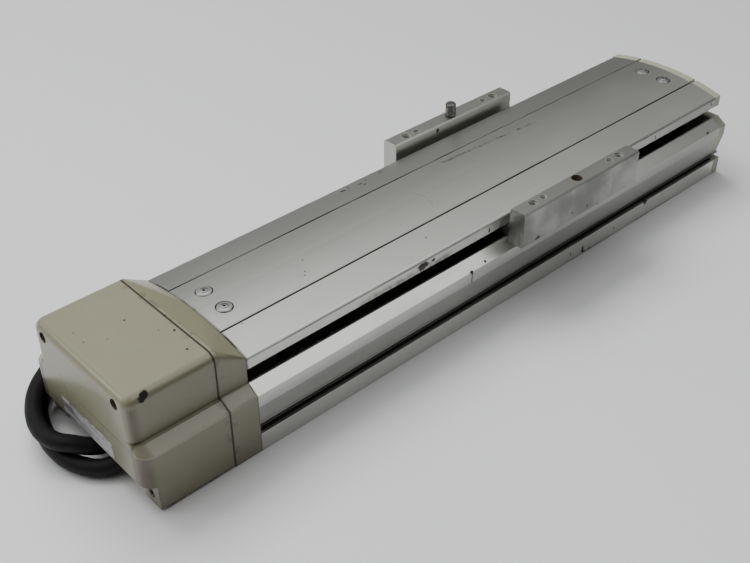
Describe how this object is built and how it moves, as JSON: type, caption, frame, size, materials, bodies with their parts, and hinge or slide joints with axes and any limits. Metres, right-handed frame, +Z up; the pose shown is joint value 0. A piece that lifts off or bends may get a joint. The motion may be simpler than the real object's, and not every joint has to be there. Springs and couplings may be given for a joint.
{
  "type": "ball screw linear module",
  "caption": "Linear actuator: an aluminium channel with rails, a ball screw under crowned covers, a slider with raised ears and a servo motor in an end housing with cables.",
  "frame": {"origin": "middle of the footprint without the cables, on the mounting face", "axes": "+X from the motor end to the far end, along the travel; +Y across, to the left seen from the motor; +Z up, away from the mounting face"},
  "size_m": [0.5768, 0.1627, 0.0855],
  "materials": {
    "anodised_aluminium": "satin anodised extrusion",
    "cover_aluminium": "satin anodised cover sheets",
    "machined_aluminium": "fine machined",
    "housing_paint": "semi-gloss olive-beige paint, a little grimy",
    "cap_plastic": "satin beige moulding",
    "black_steel": "black oxide",
    "bright_steel": "bright steel",
    "dark_steel": "ground steel",
    "bearing_steel": "polished rings and shields",
    "motor_black": "black enamel",
    "black_plastic": "moulded",
    "bumper_rubber": "solid bumper rubber",
    "seal_green": "moulded end seals",
    "black_rubber": "moulded grommet",
    "cable_jacket": "matt cable sheath",
    "connector_plastic": "ivory moulded shells"
  },
  "bodies": {
    "frame": {"channel": "anodised_aluminium", "motor_bracket": "housing_paint", "motor_cover": "housing_paint", "motor_cover_screws": "black_steel", "motor_housing": "motor_black", "motor_encoder": "black_plastic", "motor_screws": "bright_steel", "front_bearing_block": "machined_aluminium", "front_bearings": "bearing_steel", "rear_bearing_block": "machined_aluminium", "rear_bearing": "bearing_steel", "bearing_block_screws": "black_steel", "stop_bumpers": "bumper_rubber", "guide_rails": "bright_steel", "rail_screws": "black_steel", "home_sensor": "black_plastic", "side_cover_left": "cover_aluminium", "side_cover_right": "cover_aluminium", "centre_cover": "cover_aluminium", "cover_screws": "bright_steel", "base_end_cap": "cap_plastic", "end_cap_left": "cap_plastic", "end_cap_centre": "cap_plastic", "end_cap_right": "cap_plastic", "end_cap_screws": "bright_steel", "cable_grommet": "black_rubber", "motor_cable": "cable_jacket", "encoder_cable": "cable_jacket", "motor_connector": "connector_plastic", "encoder_connector": "connector_plastic"},
    "carriage": {"slider": "anodised_aluminium", "ball_nut": "dark_steel", "nut_screws": "black_steel", "guide_blocks": "dark_steel", "block_seals": "seal_green", "saddle_screws": "black_steel", "dowel_pin": "bright_steel", "sensor_flag": "black_steel"},
    "screw": {"ball_screw": "bright_steel", "bearing_lock_nut": "black_steel", "screw_circlip": "black_steel", "shaft_coupling": "machined_aluminium", "motor_rotor": "bright_steel"}
  },
  "joints": [
    {"name": "carriage_slide", "type": "slide", "parent": "frame", "child": "carriage", "axis": [1, 0, 0], "range_m": [-0.1968, 0.1031]},
    {"name": "screw_spin", "type": "hinge", "parent": "frame", "child": "screw", "pos_m": [0, 0, 0.032], "axis": [1, 0, 0], "range_deg": [-1860, 3546]}
  ],
  "couplings": [
    {"joint": "screw_spin", "follows": "carriage_slide", "rad_per_m": -314.16}
  ]
}
